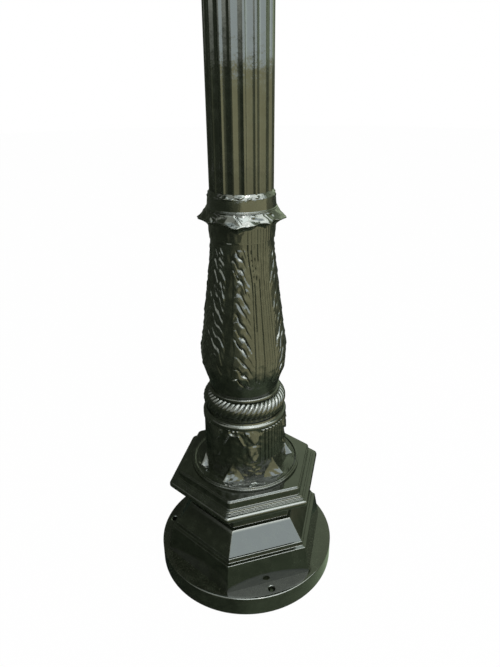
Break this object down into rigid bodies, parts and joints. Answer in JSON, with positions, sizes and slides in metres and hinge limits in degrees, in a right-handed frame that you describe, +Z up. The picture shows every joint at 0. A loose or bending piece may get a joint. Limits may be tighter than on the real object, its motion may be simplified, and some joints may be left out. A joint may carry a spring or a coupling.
{
  "type": "triple head lamp post",
  "caption": "Tall outdoor lamp post on a round flange and hexagonal pedestal, with leaf castings, a fluted column, swan-neck arms and hexagonal lanterns with hinged roofs.",
  "frame": {"origin": "centre of the flange's underside, on the ground", "axes": "+Z up along the post, the arms along X, front at -Y, lantern hinges at +Y"},
  "size_m": [1.052, 0.3699, 2.8373],
  "materials": {
    "green_paint_casting": "gloss",
    "green_paint_tube": "gloss",
    "green_paint_lantern": "gloss",
    "core_steel": "satin",
    "fixing_steel": "satin",
    "pane_glass": "gloss",
    "bulb_glass": "satin",
    "cap_aluminium": "satin",
    "holder_ceramic": "gloss"
  },
  "bodies": {
    "post": {"arm_hub": "green_paint_casting", "arm_screws": "fixing_steel", "brace_screws": "fixing_steel", "capital": "green_paint_casting", "centre_bulb_cap": "cap_aluminium", "centre_bulb_globe": "bulb_glass", "centre_cup": "green_paint_casting", "centre_cup_screws": "fixing_steel", "centre_frame": "green_paint_lantern", "centre_hinge_pin": "fixing_steel", "centre_lamp_holder": "holder_ceramic", "centre_panes": "pane_glass", "centre_stem": "green_paint_casting", "collar_disc": "green_paint_casting", "core_tube": "core_steel", "fluted_column": "green_paint_tube", "leaf_crown": "green_paint_casting", "leaf_drum": "green_paint_casting", "left_arm": "green_paint_tube", "left_brace": "green_paint_tube", "left_bulb_cap": "cap_aluminium", "left_bulb_globe": "bulb_glass", "left_cup": "green_paint_casting", "left_cup_screws": "fixing_steel", "left_frame": "green_paint_lantern", "left_hinge_pin": "fixing_steel", "left_lamp_holder": "holder_ceramic", "left_panes": "pane_glass", "lower_core_nut": "core_steel", "lower_core_washer": "core_steel", "pedestal": "green_paint_casting", "right_arm": "green_paint_tube", "right_brace": "green_paint_tube", "right_bulb_cap": "cap_aluminium", "right_bulb_globe": "bulb_glass", "right_cup": "green_paint_casting", "right_cup_screws": "fixing_steel", "right_frame": "green_paint_lantern", "right_hinge_pin": "fixing_steel", "right_lamp_holder": "holder_ceramic", "right_panes": "pane_glass", "rope_ring": "green_paint_casting", "upper_core_nut": "core_steel", "upper_core_washer": "core_steel", "vase": "green_paint_casting"},
    "centre_roof_body": {"centre_roof": "green_paint_lantern", "centre_vent": "green_paint_lantern", "centre_finial": "green_paint_lantern"},
    "right_roof_body": {"right_roof": "green_paint_lantern", "right_vent": "green_paint_lantern", "right_finial": "green_paint_lantern"},
    "left_roof_body": {"left_roof": "green_paint_lantern", "left_vent": "green_paint_lantern", "left_finial": "green_paint_lantern"}
  },
  "joints": [
    {"name": "centre_roof_hinge", "type": "hinge", "parent": "post", "child": "centre_roof_body", "pos_m": [0, 0.129, 2.652], "axis": [-1, 0, 0], "range_deg": [0, 105]},
    {"name": "right_roof_hinge", "type": "hinge", "parent": "post", "child": "right_roof_body", "pos_m": [0.384, 0.129, 2.58917], "axis": [-1, 0, 0], "range_deg": [0, 105]},
    {"name": "left_roof_hinge", "type": "hinge", "parent": "post", "child": "left_roof_body", "pos_m": [-0.384, 0.129, 2.58917], "axis": [-1, 0, 0], "range_deg": [0, 105]}
  ]
}
